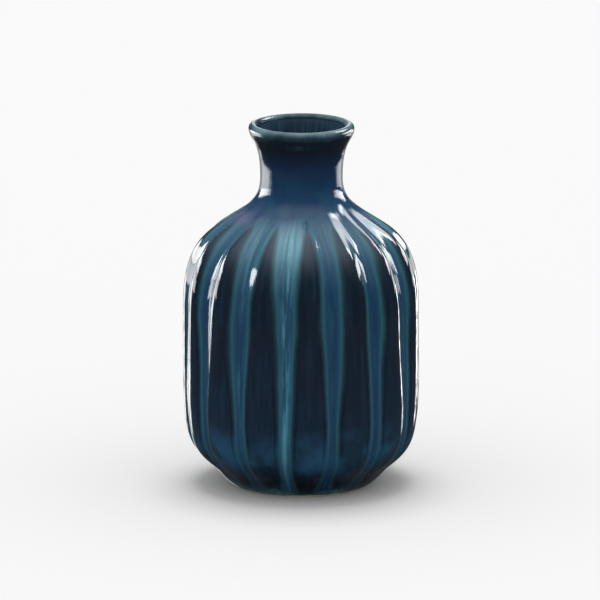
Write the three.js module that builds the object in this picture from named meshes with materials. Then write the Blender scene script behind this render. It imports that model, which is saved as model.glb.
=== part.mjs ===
// Ceramic bud vase: a hollow stoneware shell with fifteen upright flutes, a narrow neck and a
// rolled lip, coated with glaze outside and lined with glaze inside.
// Millimetres, +Z up. The origin is on the axis, in the plane that the foot ring stands on.
// Every radius is measured over the crests of the flutes. A point is a radius and a level.

import * as THREE from 'three';

// Outside
const HEIGHT = 185;
const BELLY = new THREE.Vector2(60.2, 90.7);
const SHOULDER = new THREE.Vector2(43.8, 131.8);
const SHOULDER_RISE = new THREE.Vector2(-0.821, 0.571);
const NECK = new THREE.Vector2(21.1, 157.8);
const LIP_RADIUS = 26.9;
const LIP_ROLL = 2.6;
const FOOT_RADIUS = 34.8;
const HEEL = new THREE.Vector2(45, 9.2);
const HEEL_RISE = new THREE.Vector2(0.784, 0.621);

// How far the outside's curves follow their direction below and above each point
const FOOT_FLARE = new THREE.Vector2(3, 0.6);
const HEEL_REACH = [-1.7, 20.9];
const BELLY_REACH = [-65.7, 17.8];
const SHOULDER_REACH = [-16.3, 18.8];
const NECK_REACH = [-13.7, 19.2];
const LIP_REACH = -6;

// Flutes
const FLUTES = 15;
const FLUTE_DEPTH = 3.8;
const FLUTE_FOOT = [3, 20];
const FLUTE_SWELL = [20, 115];
const LOW_FLUTE_SHARE = 0.36;
const FLUTE_TOP = [116, 148];
const FRONT_CREST_ANGLE = THREE.MathUtils.degToRad(-86.24);

// Layers, counted inwards from the glazed face
const GLAZE_THICKNESS = 0.8;
const LAYER_GAP = 0.3;
const CLAY_INSET = GLAZE_THICKNESS + LAYER_GAP;

// Share of the foot's curve, from the ring upwards, that the outer glaze leaves bare
const GLAZE_START = 0.2;

// Inside
const BORE_RADIUS = 16.1;
const CAVITY_RADIUS = 51.4;
const CAVITY_FLOOR_Z = 9.5;
const CAVITY_WALL_Z = [62, 91];
const CAVITY_FLOOR_RADIUS = 24;
const INNER_SHOULDER = new THREE.Vector2(40.5, 127);

// How far the inside's curves follow their direction below and above each point
const MOUTH_REACH = -6.6;
const BORE_REACH = [-16.8, 16.2];
const INNER_SHOULDER_REACH = [-12.2, 17];
const WALL_REACH = [-40, 13.5];
const FLOOR_REACH = 20;

// Foot ring
const RING_OUTER_RADIUS = 34;
const RING_INNER_RADIUS = 28.5;
const RECESS_RADIUS = 27.5;
const RECESS_DEPTH = 3;

// Facets
const SIDES_PER_FLUTE = 6;
const SIDES = FLUTES * SIDES_PER_FLUTE;
const INNER_SIDES = SIDES / 2;
const OUTSIDE_STEPS = [2, 5, 4, 4, 3];
const LIP_STEPS = 4;
const INSIDE_STEPS = [2, 2, 3, 1, 3];

const LIP_CENTRE = new THREE.Vector2(LIP_RADIUS - LIP_ROLL, HEIGHT - LIP_ROLL);

function along(point, direction, distance) {
  return point.clone().addScaledVector(direction, distance);
}

function above(point, rise) {
  return new THREE.Vector2(point.x, point.y + rise);
}

// Outline of the glazed outside over the crests, from the foot ring up to the lip.
function outsideCurves() {
  const [underHeel, overHeel] = HEEL_REACH.map((reach) => along(HEEL, HEEL_RISE, reach));
  const [underBelly, overBelly] = BELLY_REACH.map((reach) => above(BELLY, reach));
  const [underShoulder, overShoulder] = SHOULDER_REACH.map(
    (reach) => along(SHOULDER, SHOULDER_RISE, reach),
  );
  const [underNeck, overNeck] = NECK_REACH.map((reach) => above(NECK, reach));
  const foot = new THREE.Vector2(FOOT_RADIUS, 0);
  const lip = new THREE.Vector2(LIP_RADIUS, LIP_CENTRE.y);
  return [
    new THREE.CubicBezierCurve(foot, foot.clone().add(FOOT_FLARE), underHeel, HEEL),
    new THREE.CubicBezierCurve(HEEL, overHeel, underBelly, BELLY),
    new THREE.CubicBezierCurve(BELLY, overBelly, underShoulder, SHOULDER),
    new THREE.CubicBezierCurve(SHOULDER, overShoulder, underNeck, NECK),
    new THREE.CubicBezierCurve(NECK, overNeck, above(lip, LIP_REACH), lip),
  ];
}

// Outline of the glazed inside, from the mouth down to the middle of the cavity floor.
function insideCurves() {
  const mouth = new THREE.Vector2(LIP_CENTRE.x - LIP_ROLL, LIP_CENTRE.y - LAYER_GAP);
  const bore = new THREE.Vector2(BORE_RADIUS, NECK.y);
  const [underBore, overBore] = BORE_REACH.map((reach) => above(bore, reach));
  const [underShoulder, overShoulder] = INNER_SHOULDER_REACH.map(
    (reach) => along(INNER_SHOULDER, SHOULDER_RISE, reach),
  );
  const [wallLow, wallHigh] = CAVITY_WALL_Z.map((z) => new THREE.Vector2(CAVITY_RADIUS, z));
  const [underWall, overWall] = [above(wallLow, WALL_REACH[0]), above(wallHigh, WALL_REACH[1])];
  const floorEdge = new THREE.Vector2(CAVITY_FLOOR_RADIUS, CAVITY_FLOOR_Z);
  const beyondFloor = new THREE.Vector2(CAVITY_FLOOR_RADIUS + FLOOR_REACH, CAVITY_FLOOR_Z);
  return [
    new THREE.CubicBezierCurve(mouth, above(mouth, MOUTH_REACH), overBore, bore),
    new THREE.CubicBezierCurve(bore, underBore, overShoulder, INNER_SHOULDER),
    new THREE.CubicBezierCurve(INNER_SHOULDER, underShoulder, overWall, wallHigh),
    new THREE.LineCurve(wallHigh, wallLow),
    new THREE.CubicBezierCurve(wallLow, underWall, beyondFloor, floorEdge),
  ];
}

// Points with their tangents along a chain of curves; each curve gives its own number of steps.
function sample(curves, steps, start = 0) {
  const rows = [];
  curves.forEach((curve, index) => {
    const first = index === 0 ? start : 0;
    for (let step = index === 0 ? 0 : 1; step <= steps[index]; step += 1) {
      const t = first + ((1 - first) * step) / steps[index];
      rows.push({ point: curve.getPoint(t), tangent: curve.getTangent(t) });
    }
  });
  return rows;
}

function lipArc(steps) {
  const rows = [];
  for (let step = 1; step <= steps; step += 1) {
    const angle = (Math.PI * step) / steps;
    const out = new THREE.Vector2(Math.cos(angle), Math.sin(angle));
    rows.push({ point: along(LIP_CENTRE, out, LIP_ROLL), tangent: new THREE.Vector2(-out.y, out.x) });
  }
  return rows;
}

// A flute starts shallow above the foot, swells up to the shoulder and fades out below the neck.
function fluteDepth(z) {
  const grown = THREE.MathUtils.smoothstep(z, ...FLUTE_FOOT);
  const swollen = THREE.MathUtils.smoothstep(z, ...FLUTE_SWELL);
  const faded = THREE.MathUtils.smoothstep(z, ...FLUTE_TOP);
  return FLUTE_DEPTH * grown * THREE.MathUtils.lerp(LOW_FLUTE_SHARE, 1, swollen) * (1 - faded);
}

// A ring of the surface: the outline's point moved inwards by inset, and by the flute's depth
// in the valleys.
function ring(row, inset, fluted) {
  const normal = new THREE.Vector2(row.tangent.y, -row.tangent.x);
  const face = along(row.point, normal, -inset);
  return { r: face.x, z: face.y, normal, depth: fluted ? fluteDepth(row.point.y) : 0 };
}

function plainRing(r, z) {
  return { r, z, normal: new THREE.Vector2(1, 0), depth: 0 };
}

function ringVertex({ r, z, normal, depth }, side, sides) {
  const angle = FRONT_CREST_ANGLE + (2 * Math.PI * side) / sides;
  const valley = Math.sin((Math.PI * FLUTES * side) / sides) ** 4;
  const radius = r - normal.x * depth * valley;
  return [radius * Math.cos(angle), radius * Math.sin(angle), z - normal.y * depth * valley];
}

// Both triangles of one facet, split along the diagonal that lies further from the axis, so
// that two layers with the same rings stay parallel.
function facet(triangles, a, b, c, d) {
  const spread = (p, q) => Math.hypot(p[0] + q[0], p[1] + q[1]);
  if (spread(a, c) >= spread(b, d)) {
    triangles.push(a, b, c, a, c, d);
  } else {
    triangles.push(a, b, d, b, c, d);
  }
}

// Closed surface through a list of rings, in the order that keeps the solid on the left.
// A ring of no radius closes the surface on the axis; otherwise the last ring meets the first.
function solid(rings, sides) {
  const rows = rings.map((item) => {
    const count = item.r === 0 ? 1 : sides;
    return Array.from({ length: count }, (_, side) => ringVertex(item, side, sides));
  });
  const closed = rows[0].length > 1;
  const triangles = [];
  for (let index = 0; index < rows.length - (closed ? 0 : 1); index += 1) {
    const low = rows[index];
    const high = rows[(index + 1) % rows.length];
    for (let side = 0; side < sides; side += 1) {
      const next = (side + 1) % sides;
      if (low.length === 1) {
        triangles.push(low[0], high[next], high[side]);
      } else if (high.length === 1) {
        triangles.push(low[side], low[next], high[0]);
      } else {
        facet(triangles, low[side], low[next], high[next], high[side]);
      }
    }
  }
  const geometry = new THREE.BufferGeometry();
  geometry.setAttribute('position', new THREE.Float32BufferAttribute(triangles.flat(), 3));
  geometry.computeVertexNormals();
  return geometry;
}

const OUTSIDE = [
  ...sample(outsideCurves(), OUTSIDE_STEPS, GLAZE_START),
  ...lipArc(LIP_STEPS),
];
const INSIDE = sample(insideCurves(), INSIDE_STEPS);

function outerGlaze() {
  const face = OUTSIDE.map((row) => ring(row, 0, true));
  const back = OUTSIDE.map((row) => ring(row, GLAZE_THICKNESS, true));
  return solid([...face, ...back.reverse()], SIDES);
}

function clayBody() {
  const outside = OUTSIDE.map((row) => ring(row, CLAY_INSET, true));
  const inside = INSIDE.slice(1).map((row) => ring(row, CLAY_INSET, false));
  return solid([
    plainRing(0, RECESS_DEPTH),
    plainRing(RECESS_RADIUS, RECESS_DEPTH),
    plainRing(RING_INNER_RADIUS, 0),
    plainRing(RING_OUTER_RADIUS, 0),
    ...outside,
    ...inside,
    plainRing(0, CAVITY_FLOOR_Z - CLAY_INSET),
  ], SIDES);
}

function innerGlaze() {
  const back = INSIDE.map((row) => ring(row, GLAZE_THICKNESS, false));
  const face = INSIDE.map((row) => ring(row, 0, false));
  return solid([
    plainRing(0, CAVITY_FLOOR_Z - GLAZE_THICKNESS),
    ...back.reverse(),
    ...face,
    plainRing(0, CAVITY_FLOOR_Z),
  ], INNER_SIDES);
}

function part(name, geometry, colour, roughness) {
  const material = new THREE.MeshStandardMaterial({ color: colour, roughness, metalness: 0 });
  const mesh = new THREE.Mesh(geometry, material);
  mesh.name = name;
  return mesh;
}

const vase = new THREE.Group();
vase.add(
  part('clay_body', clayBody(), 0xb9ab97, 0.85),
  part('outer_glaze', outerGlaze(), 0x1c2f40, 0.12),
  part('inner_glaze', innerGlaze(), 0x24384a, 0.15),
);

export default vase;
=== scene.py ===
# Ceramic bud vase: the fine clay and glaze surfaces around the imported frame, with a pale floor,
# soft studio light and a camera a little above the vase.
# The outline is in millimetres, as in part.mjs; everything Blender holds is in metres.
# The highlights aren't those of one real room: the glaze mirrors a dome and cards that light nothing else.

import math
import bpy
import numpy as np
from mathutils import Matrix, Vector


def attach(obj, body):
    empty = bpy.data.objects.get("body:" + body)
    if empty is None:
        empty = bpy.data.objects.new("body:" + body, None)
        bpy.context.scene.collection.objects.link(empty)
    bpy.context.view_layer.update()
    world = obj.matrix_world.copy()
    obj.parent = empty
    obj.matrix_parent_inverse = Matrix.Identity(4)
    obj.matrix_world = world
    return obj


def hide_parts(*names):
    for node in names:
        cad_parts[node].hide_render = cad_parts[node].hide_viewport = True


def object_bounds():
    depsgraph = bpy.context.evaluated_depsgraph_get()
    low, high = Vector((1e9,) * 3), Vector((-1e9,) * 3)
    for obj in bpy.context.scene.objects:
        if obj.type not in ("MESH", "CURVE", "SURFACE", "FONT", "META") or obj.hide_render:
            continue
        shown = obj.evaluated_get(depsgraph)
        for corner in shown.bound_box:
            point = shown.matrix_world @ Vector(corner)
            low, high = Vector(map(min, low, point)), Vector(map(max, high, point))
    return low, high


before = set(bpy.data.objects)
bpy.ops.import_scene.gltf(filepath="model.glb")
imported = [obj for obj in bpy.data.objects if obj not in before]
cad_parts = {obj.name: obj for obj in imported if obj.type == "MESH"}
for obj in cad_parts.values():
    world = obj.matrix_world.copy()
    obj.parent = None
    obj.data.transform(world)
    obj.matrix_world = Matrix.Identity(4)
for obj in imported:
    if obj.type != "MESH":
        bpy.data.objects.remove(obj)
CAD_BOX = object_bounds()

MM = 0.001
HEIGHT = CAD_BOX[1][2] / MM

# Outside, over the crests of the flutes
BELLY_RADIUS = 60.2
BELLY_Z = 90.7
SHOULDER = np.array([43.8, 131.8])
SHOULDER_RISE = np.array([-0.821, 0.571])
NECK_RADIUS = 21.1
NECK_Z = 157.8
LIP_RADIUS = 26.9
LIP_ROLL = 2.6
FOOT_RADIUS = 34.8
HEEL = np.array([45, 9.2])
HEEL_RISE = np.array([0.784, 0.621])
LIP_CENTRE = np.array([LIP_RADIUS - LIP_ROLL, HEIGHT - LIP_ROLL])

# The curves' handles, as in part.mjs: the foot's place, and how far the others reach below and above
FOOT_HANDLE = (FOOT_RADIUS + 3, 0.6)
HEEL_REACH = (-1.7, 20.9)
BELLY_REACH = (-65.7, 17.8)
SHOULDER_REACH = (-16.3, 18.8)
NECK_REACH = (-13.7, 19.2)
LIP_REACH = -6

# Flutes
FLUTES = 15
FRONT_CREST_ANGLE = math.radians(-86.24)
FLUTE_DEPTHS = [0, 1.3, 1.7, 2.3, 2.9, 3.3, 3.8]
FLUTE_DEPTH_HEIGHTS = [2, 18, 45, 62, 82, 100, 116]
FLUTE_FADE = (116, 149)

# The carved valley is a narrow groove added to a wide round one.
CARVED_SHARE = 0.84
ROUND_SHARE = 0.16

# How narrow the carved groove and the glaze pooled in it are, at heights up the vase
CARVED_NARROWNESS = [1.0, 2.0, 3.0, 2.4, 1.6, 1.25, 1.15, 1.0]
CARVED_HEIGHTS = [0, 12, 30, 45, 60, 80, 100, 135]
POOL_HEIGHTS = [0, 4, 12, 22, 40, 60, 90, 105, 120, 130, 136, 140]
POOL_NARROWNESS = [0.8, 1.6, 4.5, 6.8, 8.2, 4.8, 2.2, 2.2, 1.7, 1.1, 0.6, 0.0]

# The unevenness of the hand work. The wander is in flutes, the ripple in millimetres, and the others
# are shares of what they vary.
WANDER = 0.012
SECOND_WANDER = 0.010
SECOND_WAVE = 0.6
CARVED_UNEVENNESS = 0.10
POOL_UNEVENNESS = 0.20
DEPTH_UNEVENNESS = 0.1
RIPPLE = 0.05
RIPPLE_FADE = (160, 178)

# How bright the glaze runs in each valley, from the one right of the front crest round to its left
VALLEY_GLOW = [0.15, 0.10, 0.20, 0.60, 0.20, 0.80, 0.30, 0.15, 0.70, 0.25, 0.50, 0.20, 0.15, 0.30, 1.0]

# Layers, counted inwards from the glazed face. MARGIN keeps the outer face inside the CAD's outline,
# SEAM is the hairline at which the two coats meet in the mouth, and GLAZE_START is the height at which
# the outer coat begins above the foot.
GLAZE = 0.8
GAP = 0.3
MARGIN = 0.25
SEAM = 0.03
GLAZE_START = 0.45

# Inside
BORE_RADIUS = 16.1
CAVITY_RADIUS = 51.4
CAVITY_FLOOR_Z = 9.5
CAVITY_FLOOR_RADIUS = 24
CAVITY_WALL_Z = (62, 91)
INNER_SHOULDER = np.array([40.5, 127])
MOUTH_HANDLE_Z = 175.5
BORE_HANDLE_Z = (174, 141)
INNER_SHOULDER_REACH = (-12.2, 17)
CAVITY_HANDLE_Z = (22, 104.5)
FLOOR_REACH = 20

# Foot ring
RING_OUTER_RADIUS = 34
RING_INNER_RADIUS = 28.5
RECESS_RADIUS = 27.5
RECESS_DEPTH = 3
RING_CHAMFER = (0.6, 0.5)

# Mesh density
SIDES = FLUTES * 22
ROW_STEP = 1.1
INSIDE_ROW_STEP = 2.2
HIDDEN_ROW_STEP = 4.0
SHARP_ANGLE = math.radians(50)

# Camera. Azimuths and elevations are in degrees, here and for the lights.
CAMERA_ELEVATION = 12.9
CAMERA_DISTANCE = 5.0
CAMERA_LENS = 595
CAMERA_REACH = 50
AIM = Vector((-0.0007, 0, 0.0936))

# Stage
FLOOR_RADIUS = 5.5
FLOOR_SIDES = 96
FLOOR_SHADE = 0.37
FLOOR_ROUGHNESS = 0.9
TENT_RADIUS = 6.0
TENT_STEP = 6
TENT_GLOW = 1.76
WORLD_COLOUR = [0.04, 0.045, 0.05, 1]

# Lights. A place is an azimuth and an elevation.
OVERHEAD_STRENGTH = 2.6
OVERHEAD_SPREAD = math.radians(30)
OVERHEAD_PLACE = (180, 80)
OVERHEAD_DISTANCE = 1.5
SOFTBOX_POWER = 5
SOFTBOX_SIZE = 0.6
SOFTBOX_DISTANCE = 1.3
SOFTBOXES = {"softbox_left": (-108, 22), "softbox_right": (128, 32)}

# What the glaze mirrors: a studio dome, and curved cards close to the vase. A card has its two
# azimuths, its lower and upper height, and its glow at either azimuth.
STUDIO_RADIUS = 1.5
STUDIO_STEP = 1
CARD_DISTANCE = 0.25
CARD_STEPS = 24
CARDS = {
    "card_left": ((-140, -98), (0.085, 0.135), (2.4, 6.5)),
    "card_left_rear": ((-165, -140), (0.085, 0.135), (0.5, 0.8)),
    "card_left_high": ((-134, -96), (0.138, 0.186), (10.0, 10.0)),
    "card_right": ((112, 142), (0.085, 0.130), (4.0, 2.4)),
    "card_right_rear": ((142, 165), (0.085, 0.130), (0.7, 0.5)),
    "card_right_high": ((98, 134), (0.152, 0.210), (9.0, 9.0)),
}


# ---------------------------------------------------------------- outline

def above(point, rise):
    """The point that lies straight above this one, or below it for a negative rise."""
    return point[0], point[1] + rise


def bezier(points, steps=160):
    t = np.linspace(0, 1, steps)[:, None]
    a, b, c, d = (np.array(point, float) for point in points)
    return (1 - t) ** 3 * a + 3 * (1 - t) ** 2 * t * b + 3 * (1 - t) * t**2 * c + t**3 * d


def chain(segments):
    """One run of (radius, height) points through segments that start where the last one ended."""
    return np.concatenate([segments[0]] + [segment[1:] for segment in segments[1:]])


def outside_outline():
    """The glazed outside over the crests, from the foot up and over the lip."""
    belly = (BELLY_RADIUS, BELLY_Z)
    neck = (NECK_RADIUS, NECK_Z)
    lip = (LIP_RADIUS, LIP_CENTRE[1])
    turn = np.linspace(0, math.pi, 60)[:, None]
    roll = LIP_CENTRE + LIP_ROLL * np.hstack([np.cos(turn), np.sin(turn)])
    points = chain([
        bezier([(FOOT_RADIUS, 0), FOOT_HANDLE, HEEL + HEEL_REACH[0] * HEEL_RISE, HEEL]),
        bezier([HEEL, HEEL + HEEL_REACH[1] * HEEL_RISE, above(belly, BELLY_REACH[0]), belly]),
        bezier([belly, above(belly, BELLY_REACH[1]), SHOULDER + SHOULDER_REACH[0] * SHOULDER_RISE, SHOULDER]),
        bezier([SHOULDER, SHOULDER + SHOULDER_REACH[1] * SHOULDER_RISE, above(neck, NECK_REACH[0]), neck]),
        bezier([neck, above(neck, NECK_REACH[1]), above(lip, LIP_REACH), lip]),
        roll,
    ])
    return points[(points[:, 1] >= GLAZE_START) | (points[:, 0] > FOOT_RADIUS + 5)]


def inside_outline():
    """The glazed inside, from just below the lip's roll down to the edge of the flat floor."""
    mouth = (LIP_CENTRE[0] - LIP_ROLL + MARGIN, LIP_CENTRE[1] - SEAM)
    bore = (BORE_RADIUS, NECK_Z)
    low, high = ((CAVITY_RADIUS, z) for z in CAVITY_WALL_Z)
    floor_edge = (CAVITY_FLOOR_RADIUS, CAVITY_FLOOR_Z)
    under, over = (INNER_SHOULDER + reach * SHOULDER_RISE for reach in INNER_SHOULDER_REACH)
    floor_handle = (CAVITY_FLOOR_RADIUS + FLOOR_REACH, CAVITY_FLOOR_Z)
    return chain([
        bezier([mouth, (mouth[0], MOUTH_HANDLE_Z), (BORE_RADIUS, BORE_HANDLE_Z[0]), bore]),
        bezier([bore, (BORE_RADIUS, BORE_HANDLE_Z[1]), over, INNER_SHOULDER]),
        bezier([INNER_SHOULDER, under, (CAVITY_RADIUS, CAVITY_HANDLE_Z[1]), high]),
        np.array([high, low], float),
        bezier([low, (CAVITY_RADIUS, CAVITY_HANDLE_Z[0]), floor_handle, floor_edge]),
    ])


def evenly(points, step):
    """The same outline with its points a step apart, and the unit normals that point out of
    the wall on its right."""
    lengths = np.hypot(*np.diff(points, axis=0).T)
    travelled = np.concatenate([[0], np.cumsum(lengths)])
    stops = np.linspace(0, travelled[-1], round(travelled[-1] / step) + 1)
    even = np.stack([np.interp(stops, travelled, points[:, axis]) for axis in (0, 1)], 1)
    along = np.gradient(even, axis=0)
    along /= np.linalg.norm(along, axis=1)[:, None]
    return even, np.stack([along[:, 1], -along[:, 0]], 1)


# ---------------------------------------------------------------- flutes

def smoothstep(value, low, high):
    t = np.clip((value - low) / (high - low), 0, 1)
    return t * t * (3 - 2 * t)


def wave(angle, z, turns, climb, start=0.0):
    """A wave with so many crests round the vase, which shifts by a radian for each climb in height."""
    return np.sin(turns * angle + z / climb + start)


def flutes(z, angle):
    """How much glaze has pooled at a point, from 0 on a crest to 1 along a valley, how bright it runs
    there, and how deep the point lies. The slow waves are the hand carving: each flute wanders and
    swells on its own."""
    wander = WANDER * wave(angle, z, 3, 40, 1.1) + SECOND_WANDER * wave(angle, z, 5, -23, -2.0)
    pitch = (angle - FRONT_CREST_ANGLE) / (2 * math.pi) * FLUTES + wander
    from_valley = np.mod(pitch, 1) - 0.5
    bright = np.array(VALLEY_GLOW)[np.mod(np.floor(pitch), FLUTES).astype(int)]
    across = np.cos(math.pi * from_valley)
    left = wave(angle, z, 6, 14, 0.5) + SECOND_WAVE * wave(angle, z, 11, -9)
    right = wave(angle, z, 5, -17, 2.5) + SECOND_WAVE * wave(angle, z, 9, 8, 1)
    uneven = np.where(from_valley < 0, left, right)
    carved = np.interp(z, CARVED_HEIGHTS, CARVED_NARROWNESS)
    valley = across ** (2 * carved * (1 + CARVED_UNEVENNESS * uneven))
    glazed = np.interp(z, POOL_HEIGHTS, POOL_NARROWNESS)
    pool = across ** (2 * glazed * (1 + POOL_UNEVENNESS * uneven))
    depth = np.interp(z, FLUTE_DEPTH_HEIGHTS, FLUTE_DEPTHS) * (1 - smoothstep(z, *FLUTE_FADE))
    depth = depth * (1 + DEPTH_UNEVENNESS * wave(angle, z, 4, 30))
    ripple = wave(angle, z, 7, 11) + wave(angle, z, 4, -19, 1.3) + 2
    ripple = ripple * (1 - smoothstep(z, *RIPPLE_FADE))
    sink = MARGIN + RIPPLE * ripple + depth * (CARVED_SHARE * valley + ROUND_SHARE * across**2)
    return pool, bright, sink


# ---------------------------------------------------------------- meshes

ANGLES = FRONT_CREST_ANGLE + 2 * math.pi * np.arange(SIDES) / SIDES


def ring_points(r, z):
    """Points round the axis at each angle."""
    return np.stack([r * np.cos(ANGLES), r * np.sin(ANGLES), z + 0 * ANGLES], -1)


def layer(outline, step, inset=0.0, fluted=False):
    """Rings of points, one row for each step along the outline, set inwards from it, with how much
    glaze has pooled at each point and how bright it runs."""
    points, normals = evenly(outline, step)
    r = points[:, :1] - normals[:, :1] * inset
    z = points[:, 1:] - normals[:, 1:] * inset
    pool = np.zeros((len(points), SIDES))
    bright = np.zeros((len(points), SIDES))
    if fluted:
        pool, bright, sink = flutes(points[:, 1:], ANGLES[None, :])
        r = r - normals[:, :1] * sink
        z = z - normals[:, 1:] * sink
    return ring_points(r, z), pool, bright


def plain_ring(r, z):
    """A layer of one unglazed ring."""
    return ring_points(r, z)[None], np.zeros((1, SIDES)), np.zeros((1, SIDES))


def shell(name, layers, on_axis=None):
    """A closed piece through the layers' rings in turn. on_axis gives the heights at which the
    first and the last ring close on the axis; without it the last ring meets the first."""
    rings = np.concatenate([made[0] for made in layers]) * MM
    looks = {"valley": [made[1] for made in layers], "bright": [made[2] for made in layers]}
    count = len(rings)
    side = np.arange(SIDES)
    after = (side + 1) % SIDES
    faces = []
    for row in range(count - 1 if on_axis else count):
        low, high = row * SIDES, (row + 1) % count * SIDES
        faces += np.stack([low + side, low + after, high + after, high + side], 1).tolist()
    vertices = rings.reshape(-1, 3).tolist()
    if on_axis:
        bottom, top = len(vertices), len(vertices) + 1
        vertices += [(0, 0, on_axis[0] * MM), (0, 0, on_axis[1] * MM)]
        last = (count - 1) * SIDES
        faces += [(bottom, b, a) for a, b in zip(side.tolist(), after.tolist())]
        faces += [(last + a, last + b, top) for a, b in zip(side.tolist(), after.tolist())]
    mesh = bpy.data.meshes.new(name)
    mesh.from_pydata(vertices, [], faces)
    for look, values in looks.items():
        spread = np.zeros(len(vertices))
        spread[: count * SIDES] = np.concatenate(values).ravel()
        mesh.attributes.new(look, "FLOAT", "POINT").data.foreach_set("value", spread)
    mesh.shade_smooth()
    mesh.set_sharp_from_angle(angle=SHARP_ANGLE)
    piece = bpy.data.objects.new(name, mesh)
    bpy.context.scene.collection.objects.link(piece)
    return piece


def backwards(made):
    """A layer with its rings in the other order."""
    return [grid[::-1] for grid in made]


def make_outer_coat():
    outline = outside_outline()
    face = layer(outline, ROW_STEP, fluted=True)
    back = layer(outline, HIDDEN_ROW_STEP, inset=GLAZE, fluted=True)
    return shell("glaze_outside", [face, backwards(back)])


def make_inner_coat():
    outline = inside_outline()
    face = layer(outline, INSIDE_ROW_STEP)
    back = layer(outline, HIDDEN_ROW_STEP, inset=GLAZE)
    floor = (CAVITY_FLOOR_Z - GLAZE, CAVITY_FLOOR_Z)
    return shell("glaze_inside", [backwards(back), face], on_axis=floor)


def make_clay():
    outside = layer(outside_outline(), HIDDEN_ROW_STEP, inset=GLAZE + GAP, fluted=True)
    inside = layer(inside_outline(), HIDDEN_ROW_STEP, inset=GLAZE + GAP)
    foot = [
        plain_ring(RECESS_RADIUS, RECESS_DEPTH),
        plain_ring(RING_INNER_RADIUS - RING_CHAMFER[0], RING_CHAMFER[1]),
        plain_ring(RING_INNER_RADIUS, 0),
        plain_ring(RING_OUTER_RADIUS, 0),
    ]
    floor = (RECESS_DEPTH, CAVITY_FLOOR_Z - GLAZE - GAP)
    return shell("clay_foot_and_wall", foot + [outside, inside], on_axis=floor)


# ---------------------------------------------------------------- materials

def linear(colour):
    """A screen colour from 0 to 255 as the shader's linear colour."""
    parts = [channel / 255 for channel in colour]
    return [p / 12.92 if p <= 0.04045 else ((p + 0.055) / 1.055) ** 2.4 for p in parts] + [1]


class Shader:
    """A node material, with short ways to add its nodes."""

    def __init__(self, name):
        self.material = bpy.data.materials.new(name)
        self.material.use_nodes = True
        self.tree = self.material.node_tree
        self.surface = self.tree.nodes["Principled BSDF"]
        self.position = self.add("ShaderNodeTexCoord").outputs["Object"]

    def add(self, kind, inputs=None, **settings):
        node = self.tree.nodes.new(kind)
        for name, value in settings.items():
            setattr(node, name, value)
        for name, value in (inputs or {}).items():
            self.feed(node.inputs[name], value)
        return node

    def feed(self, socket, value):
        if isinstance(value, bpy.types.NodeSocket):
            self.tree.links.new(value, socket)
        else:
            socket.default_value = value

    def math(self, operation, *values):
        inputs = dict(enumerate(values))
        return self.add("ShaderNodeMath", inputs, operation=operation).outputs[0]

    def vector(self, operation, *values):
        inputs = dict(enumerate(values))
        return self.add("ShaderNodeVectorMath", inputs, operation=operation).outputs[0]

    def noise(self, where, scale, detail=3.0, roughness=0.55):
        inputs = {"Vector": where, "Scale": scale, "Detail": detail, "Roughness": roughness}
        return self.add("ShaderNodeTexNoise", inputs).outputs["Fac"]

    def ramp(self, value, stops):
        node = self.add("ShaderNodeValToRGB", {"Fac": value})
        marks = node.color_ramp.elements
        while len(marks) < len(stops):
            marks.new(1)
        for mark, (place, colour) in zip(marks, stops):
            mark.position = place
            mark.color = linear(colour) if isinstance(colour, tuple) else [colour] * 3 + [1]
        return node.outputs["Color"]

    def mix(self, factor, first, second, blend="MIX"):
        node = self.add("ShaderNodeMix", data_type="RGBA", blend_type=blend)
        self.feed(node.inputs[0], factor)
        self.feed(node.inputs[6], first)
        self.feed(node.inputs[7], second)
        return node.outputs[2]

    def attribute(self, name):
        return self.add("ShaderNodeAttribute", attribute_name=name).outputs["Fac"]

    def bump(self, height, distance, strength=1.0, normal=None):
        inputs = {"Height": height, "Distance": distance, "Strength": strength}
        if normal:
            inputs["Normal"] = normal
        return self.add("ShaderNodeBump", inputs).outputs["Normal"]

    def height(self):
        """The height up the vase, from 0 at the foot to 1 at the lip."""
        z = self.add("ShaderNodeSeparateXYZ", {"Vector": self.position}).outputs["Z"]
        return self.math("DIVIDE", z, HEIGHT * MM)

    def runs(self):
        """A position in which patterns stretch into streaks that run down the wall."""
        flat = self.vector("MULTIPLY", self.position, (1, 1, 0))
        around = self.vector("NORMALIZE", flat)
        rise = self.vector("MULTIPLY", self.position, (0, 0, 1.6))
        return self.vector("ADD", around, rise)


# The places in these tables are heights, from 0 at the foot to 1 at the lip. In POOL_AND_SHADE_COLOURS and
# CREASE_SHADE_LINE they are amounts of pooled glaze, from 0 on a crest to 1 along a valley.
CREST_COLOURS = [
    (0.000, (96, 134, 132)),
    (0.010, (66, 104, 106)),
    # Painted shade: the crests turn darker a little above the foot.
    (0.020, (20, 38, 48)),
    (0.040, (9, 17, 26)),
    (0.070, (12, 24, 36)),
    (0.120, (20, 44, 60)),
    (0.200, (19, 35, 50)),
    (0.350, (19, 30, 42)),
    (0.600, (17, 27, 37)),
    # From here up the crests turn lighter: the glaze's own colour with a painted sheen of the light above.
    (0.660, (28, 37, 47)),
    (0.700, (44, 54, 66)),
    (0.745, (52, 68, 82)),
]
# Valley colours: teal where the glaze pools, with painted shading across each valley: lighter teal on its
# sides and darker blue in its middle.
POOL_AND_SHADE_COLOURS = [
    (0.00, (18, 32, 42)),
    (0.10, (26, 50, 60)),
    (0.26, (38, 76, 86)),
    (0.42, (42, 84, 94)),
    (0.60, (32, 68, 90)),
    (0.80, (24, 54, 80)),
    (1.00, (22, 48, 74)),
]
FOOT_FADE = [(0.02, 0.45), (0.10, 0.70), (0.20, 1.0)]
BASE_BAND = [(0.06, 0.0), (0.11, 1.0), (0.14, 1.0), (0.22, 0.0)]
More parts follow.
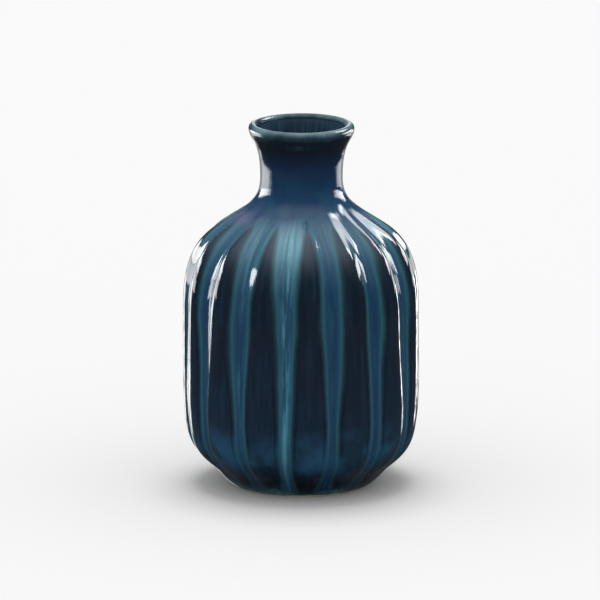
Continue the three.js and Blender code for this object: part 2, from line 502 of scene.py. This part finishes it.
# Pale runs in the valleys near the shoulder's top: the glaze's own colour with a painted sheen of the light
# above.
SHOULDER_BAND = [(0.58, 0.0), (0.68, 0.6), (0.74, 0.9)]
# Mauve near the neck's base: the glaze's own patches with a painted sheen of the light above.
MAUVE_AND_SHEEN_BAND = [(0.70, 0.0), (0.75, 1.0), (0.80, 0.0)]
# Painted shade: a dark line just inside the edges of each valley, from low on the body up to the shoulder.
CREASE_SHADE_LINE = [(0.01, 0.0), (0.05, 1.0), (0.10, 0.0)]
CREASE_SHADE_BAND = [(0.10, 0.0), (0.16, 0.7), (0.62, 0.0)]
NAVY_CAST = (24, 46, 66)
VIOLET_CAST = (34, 36, 58)
BASE_BLUE = (34, 76, 104)
BRIGHT_TEAL = (78, 140, 160)
PALE_RUN_AND_SHEEN = (108, 150, 162)
CREASE_SHADE = (9, 16, 22)
NECK_TEAL = (30, 78, 94)
NECK_MAUVE_AND_SHEEN = (104, 100, 130)
NECK_COLOURS = [
    (0.735, (50, 80, 100)),
    (0.760, (40, 66, 96)),
    (0.800, (30, 57, 88)),
    (0.850, (22, 46, 76)),
    (0.910, (16, 30, 50)),
    (0.950, (12, 21, 32)),
    (0.972, (14, 24, 33)),
    # Lighter over the lip: thinner glaze with a painted sheen of the light above.
    (0.984, (34, 52, 62)),
    (0.992, (66, 90, 98)),
    (1.000, (84, 108, 114)),
]
NECK_START = [(0.725, 0.0), (0.765, 1.0)]
NECK_PATCH_FADE = [(0.74, 1.0), (0.90, 0.0)]
STREAK_SCALE = 22
CLOUD_SCALE = 45
SPECK_SCALE = 1400
HEIGHT_WAVER = 0.06
STREAK_SHIFT = 0.7
GRAIN_SHIFT = 0.08
PALE_GAIN = 0.75
PALE_LEAST = 0.15
RIPPLE_BUMP = 0.00025
SKIN_BUMP = 0.0001
GRAIN_BUMP = 0.0003
GLAZE_IOR = 1.5


def outer_glaze():
    """Reactive glaze: near-black navy where it is thin over the crests, teal where it pools in the valleys,
    paler runs and mauve near the shoulder's top, and thin and grey over the lip. Painted in: shading across
    each valley, lighter on its sides and bluer in its middle; a shade line along its edges; shade a little
    above the foot; and a sheen of the light above over the shoulder's top and the lip."""
    s = Shader("reactive_glaze")
    runs = s.runs()
    streaks = s.noise(runs, STREAK_SCALE, 4)
    clouds = s.noise(s.position, CLOUD_SCALE, 3)
    specks = s.noise(s.position, SPECK_SCALE, 2)
    height = s.height()
    wavy_height = s.math("MULTIPLY_ADD", s.math("SUBTRACT", clouds, 0.5), HEIGHT_WAVER, height)
    valley = s.attribute("valley")
    bright = s.attribute("bright")

    # The crest colours carry painted shade a little above the foot and painted sheen near the shoulder's top.
    crest = s.ramp(wavy_height, CREST_COLOURS)
    cast = s.mix(s.ramp(clouds, [(0.40, 0.0), (0.65, 1.0)]), linear(NAVY_CAST), linear(VIOLET_CAST))
    crest = s.mix(s.ramp(streaks, [(0.42, 0.0), (0.70, 0.55)]), crest, cast)
    low_clouds = s.ramp(clouds, [(0.46, 0.0), (0.62, 0.7)])
    low_blue = s.math("MULTIPLY", s.ramp(height, BASE_BAND), low_clouds)
    crest = s.mix(low_blue, crest, linear(BASE_BLUE))

    shift = s.math("MULTIPLY", s.math("SUBTRACT", streaks, 0.5), STREAK_SHIFT)
    grain = s.math("MULTIPLY", s.math("SUBTRACT", specks, 0.5), GRAIN_SHIFT)
    pooled = s.math("ADD", valley, s.math("MULTIPLY", s.math("ADD", shift, grain), valley))
    # The pooled teal, with painted shading across each valley: lighter on its sides, bluer in its middle.
    pool = s.ramp(pooled, POOL_AND_SHADE_COLOURS)
    teal = s.math("MULTIPLY", s.ramp(streaks, [(0.42, 0.1), (0.64, 0.8)]), bright)
    teal = s.math("MULTIPLY", teal, s.math("POWER", valley, 3))
    pool = s.mix(teal, pool, linear(BRIGHT_TEAL))
    # Pale runs near the shoulder's top: the glaze's own colour with a painted sheen of the light above.
    glowing = s.math("MULTIPLY_ADD", bright, PALE_GAIN, PALE_LEAST)
    pale = s.math("MULTIPLY", s.ramp(wavy_height, SHOULDER_BAND), glowing)
    pale = s.math("MULTIPLY", pale, s.ramp(streaks, [(0.35, 0.5), (0.65, 1.0)]))
    pool = s.mix(pale, pool, linear(PALE_RUN_AND_SHEEN))

    share = s.math("MULTIPLY", s.ramp(pooled, [(0.05, 0.0), (0.50, 1.0)]), s.ramp(height, FOOT_FADE))
    colour = s.mix(share, crest, pool)
    # Painted shade: a dark line along the edges of each valley.
    edge = s.math("MULTIPLY", s.ramp(pooled, CREASE_SHADE_LINE), s.ramp(height, CREASE_SHADE_BAND))
    colour = s.mix(edge, colour, linear(CREASE_SHADE))

    neck = s.ramp(wavy_height, NECK_COLOURS)
    patches = s.ramp(s.noise(s.position, 110, 4), [(0.42, 0.0), (0.64, 0.55)])
    patches = s.math("MULTIPLY", patches, s.ramp(height, NECK_PATCH_FADE))
    neck = s.mix(patches, neck, linear(NECK_TEAL))
    # Mauve near the neck's base: the glaze's own patches with a painted sheen of the light above.
    mauve = s.math("MULTIPLY", s.ramp(clouds, [(0.50, 0.0), (0.66, 0.6)]), s.ramp(height, MAUVE_AND_SHEEN_BAND))
    neck = s.mix(mauve, neck, linear(NECK_MAUVE_AND_SHEEN))
    colour = s.mix(s.ramp(wavy_height, NECK_START), colour, neck)

    mottle = s.ramp(specks, [(0.3, (114, 114, 114)), (0.7, (142, 142, 142))])
    colour = s.mix(0.5, colour, mottle, "OVERLAY")
    s.feed(s.surface.inputs["Base Color"], colour)
    s.feed(s.surface.inputs["Roughness"], s.ramp(clouds, [(0.3, 0.05), (0.7, 0.11)]))
    ripple = s.bump(s.noise(runs, 40, 2), RIPPLE_BUMP, 0.25)
    skin = s.bump(s.noise(s.position, 260, 2), SKIN_BUMP, 0.35, ripple)
    s.feed(s.surface.inputs["Normal"], skin)
    s.surface.inputs["IOR"].default_value = GLAZE_IOR
    return s.material


INSIDE_RUN = (40, 72, 92)
# Inside the mouth: lighter near the rim and darker a little way down, painted light and shade.
INSIDE_COLOURS_AND_SHADE = [
    (0.000, (18, 30, 44)),
    (0.945, (10, 17, 26)),
    (0.963, (24, 38, 54)),
    (0.990, (38, 56, 70)),
]


def inner_glaze():
    """Dark blue gloss glaze, with paler streaks that run down the wall. Lighter near the rim and darker a
    little way down the mouth: painted light and shade.
    """
    s = Shader("liner_glaze")
    clouds = s.noise(s.position, 60, 4)
    streaks = s.noise(s.runs(), 16, 3)
    deep = s.ramp(s.height(), INSIDE_COLOURS_AND_SHADE)
    colour = s.mix(s.ramp(streaks, [(0.45, 0.0), (0.75, 0.6)]), deep, linear(INSIDE_RUN))
    s.feed(s.surface.inputs["Base Color"], colour)
    s.feed(s.surface.inputs["Roughness"], s.ramp(clouds, [(0.3, 0.08), (0.7, 0.16)]))
    s.feed(s.surface.inputs["Normal"], s.bump(s.noise(s.position, 220, 2), SKIN_BUMP, 0.4))
    return s.material


SANDY_CLAY = [(0.3, (176, 160, 138)), (0.7, (200, 186, 164))]
CLAY_SPECK = (112, 88, 66)


def bare_clay():
    """Matt sandy stoneware with brown specks."""
    s = Shader("bare_stoneware")
    grain = s.noise(s.position, 1800, 4, 0.7)
    patches = s.noise(s.position, 90, 3)
    sand = s.ramp(patches, SANDY_CLAY)
    specks = s.ramp(s.noise(s.position, 2600, 1), [(0.62, 0.0), (0.70, 0.7)])
    colour = s.mix(specks, sand, linear(CLAY_SPECK))
    s.feed(s.surface.inputs["Base Color"], colour)
    s.feed(s.surface.inputs["Roughness"], s.ramp(grain, [(0.2, 0.75), (0.8, 0.95)]))
    s.feed(s.surface.inputs["Normal"], s.bump(grain, GRAIN_BUMP, 0.6))
    return s.material


# ---------------------------------------------------------------- stage, lights and camera

def glow(name):
    """A material that shines by the mesh's own "glow" at each point."""
    material = bpy.data.materials.new(name)
    material.use_nodes = True
    tree = material.node_tree
    tree.nodes.remove(tree.nodes["Principled BSDF"])
    strength = tree.nodes.new("ShaderNodeAttribute")
    strength.attribute_name = "glow"
    light = tree.nodes.new("ShaderNodeEmission")
    tree.links.new(strength.outputs["Fac"], light.inputs["Strength"])
    tree.links.new(light.outputs[0], tree.nodes["Material Output"].inputs["Surface"])
    material.cycles.emission_sampling = "NONE"
    return material


def stage_mesh(name, vertices, faces, material):
    mesh = bpy.data.meshes.new(name)
    mesh.from_pydata(vertices, [], faces)
    mesh.materials.append(material)
    item = bpy.data.objects.new(name, mesh)
    bpy.context.scene.collection.objects.link(item)
    item.visible_shadow = False
    return item


def make_floor():
    s = Shader("pale_floor")
    s.surface.inputs["Base Color"].default_value = [FLOOR_SHADE, FLOOR_SHADE, FLOOR_SHADE, 1]
    s.surface.inputs["Roughness"].default_value = FLOOR_ROUGHNESS
    s.surface.inputs["Specular IOR Level"].default_value = 0.0
    turns = [2 * math.pi * step / FLOOR_SIDES for step in range(FLOOR_SIDES)]
    ring = [(FLOOR_RADIUS * math.cos(t), FLOOR_RADIUS * math.sin(t), 0) for t in turns]
    floor = stage_mesh("floor", ring, [list(range(FLOOR_SIDES))], s.material)
    floor.visible_glossy = False


def direction(azimuth, elevation):
    """Unit vector from the vase; azimuth 0 is towards the camera and 90 is to its right."""
    a, e = math.radians(azimuth), math.radians(elevation)
    return Vector((math.sin(a) * math.cos(e), -math.cos(a) * math.cos(e), math.sin(e)))


def dome(name, radius, brightness, step):
    """A shell of light all round the vase. brightness gives its glow at an azimuth and an elevation."""
    columns, rows = 360 // step, 180 // step
    places = [(column * step - 180, 90 - row * step) for row in range(rows + 1) for column in range(columns)]
    vertices = [direction(*place) * radius for place in places]
    faces = []
    for row in range(rows):
        for column in range(columns):
            after = (column + 1) % columns
            low, high = row * columns, (row + 1) * columns
            faces.append([low + column, low + after, high + after, high + column])
    item = stage_mesh(name, vertices, faces, glow(name + "_light"))
    azimuths, elevations = np.array(places, float).T
    glows = item.data.attributes.new("glow", "FLOAT", "POINT").data
    glows.foreach_set("value", brightness(azimuths, elevations))
    return item


def even_light(azimuth, elevation):
    return np.full(len(azimuth), TENT_GLOW)


def window(value, low, high, soft):
    """1 between low and high, fading to 0 across soft at either end."""
    rise = smoothstep(value, low - soft / 2, low + soft / 2)
    return rise * (1 - smoothstep(value, high - soft / 2, high + soft / 2))


def mirrored_light(azimuth, elevation):
    """The studio as the glaze mirrors it: nearly dark, with a pale sweep behind the vase, a bright
    strip that widens upwards on either side of the sweep, two bright patches high on the right, and
    a slow rise towards the top."""
    light = 0.02 + 0.03 * window(elevation, -62, -7, 4)
    strip_rise = np.clip((elevation + 18) / 14, 0, 1)
    sweep_edge = -155 - 20 * smoothstep(elevation, -9, 0)
    left_sweep = window(azimuth, -200, sweep_edge, 4) * window(elevation, -19, 26, 4)
    left_strip = window(azimuth, -149, -147 + 18 * strip_rise, 2) * window(elevation, -18, 0, 3)
    right_sweep = window(azimuth, 172, 200, 4) * window(elevation, -4, 34, 4)
    right_strip = window(azimuth, 151 - 9 * strip_rise, 151, 2) * window(elevation, -15, 0, 3)
    high_patch = window(azimuth, 112, 125, 2) * window(elevation, 35, 54, 2)
    high_rear_patch = window(azimuth, 125, 148, 2) * window(elevation, 34, 54, 2)
    light += 1.5 * left_sweep + 5 * left_strip
    light += 1.0 * right_sweep + 9 * right_strip
    light += 16 * high_patch + 6 * high_rear_patch
    light += 0.9 * smoothstep(elevation, 30, 85)
    return light


def only_mirrored(item):
    item.visible_camera = False
    item.visible_diffuse = False
    item.visible_transmission = False


def card(name, azimuths, heights, brightness):
    """A curved card close to the vase, which only the glaze mirrors."""
    places = np.linspace(*azimuths, CARD_STEPS + 1)
    vertices = [direction(place, 0) * CARD_DISTANCE + Vector((0, 0, z)) for z in heights for place in places]
    faces = [[i, i + 1, i + CARD_STEPS + 2, i + CARD_STEPS + 1] for i in range(CARD_STEPS)]
    item = stage_mesh(name, vertices, faces, glow(name + "_light"))
    glows = item.data.attributes.new("glow", "FLOAT", "POINT").data
    glows.foreach_set("value", np.tile(np.interp(places, azimuths, brightness), 2))
    only_mirrored(item)


def make_surroundings():
    """The pale tent lights the stage evenly, but the glaze doesn't mirror it. It mirrors the studio
    dome and the cards, which neither the camera nor the diffuse light sees."""
    tent = dome("tent", TENT_RADIUS, even_light, TENT_STEP)
    tent.visible_glossy = False
    only_mirrored(dome("studio", STUDIO_RADIUS, mirrored_light, STUDIO_STEP))
    for name, (azimuths, heights, brightness) in CARDS.items():
        card(name, azimuths, heights, brightness)


def hang(name, data, place, distance):
    """A light that shines at the vase from its place, unseen by the camera and the gloss."""
    light = bpy.data.objects.new(name, data)
    away = direction(*place)
    light.location = AIM + away * distance
    light.rotation_euler = away.to_track_quat("Z", "Y").to_euler()
    light.visible_camera = False
    light.visible_glossy = False
    bpy.context.scene.collection.objects.link(light)
    return light


def make_lights(vase):
    """A broad light above and a little behind, and a softbox on either side for the vase alone."""
    data = bpy.data.lights.new("overhead", "SUN")
    data.energy = OVERHEAD_STRENGTH
    data.angle = OVERHEAD_SPREAD
    hang("overhead", data, OVERHEAD_PLACE, OVERHEAD_DISTANCE)
    lit = bpy.data.collections.new("lit_by_softboxes")
    for piece in vase:
        lit.objects.link(piece)
    for name, place in SOFTBOXES.items():
        data = bpy.data.lights.new(name, "AREA")
        data.size = SOFTBOX_SIZE
        data.energy = SOFTBOX_POWER
        softbox = hang(name, data, place, SOFTBOX_DISTANCE)
        softbox.light_linking.receiver_collection = lit
    world = bpy.data.worlds.new("dark_studio")
    world.use_nodes = True
    world.node_tree.nodes["Background"].inputs["Color"].default_value = WORLD_COLOUR
    bpy.context.scene.world = world


def make_camera():
    data = bpy.data.cameras.new("camera")
    data.lens = CAMERA_LENS
    data.clip_end = CAMERA_REACH
    camera = bpy.data.objects.new("camera", data)
    away = direction(0, CAMERA_ELEVATION)
    camera.location = AIM + away * CAMERA_DISTANCE
    camera.rotation_euler = away.to_track_quat("Z", "Y").to_euler()
    bpy.context.scene.collection.objects.link(camera)
    bpy.context.scene.camera = camera


# ---------------------------------------------------------------- the vase

def finish_piece(piece, node, material):
    piece.data.materials.append(material)
    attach(piece, "root")
    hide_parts(node)
    return piece


vase = [
    finish_piece(make_outer_coat(), "outer_glaze", outer_glaze()),
    finish_piece(make_inner_coat(), "inner_glaze", inner_glaze()),
    finish_piece(make_clay(), "clay_body", bare_clay()),
]
make_floor()
make_surroundings()
make_lights(vase)
make_camera()
bpy.context.scene.view_settings.view_transform = "Standard"
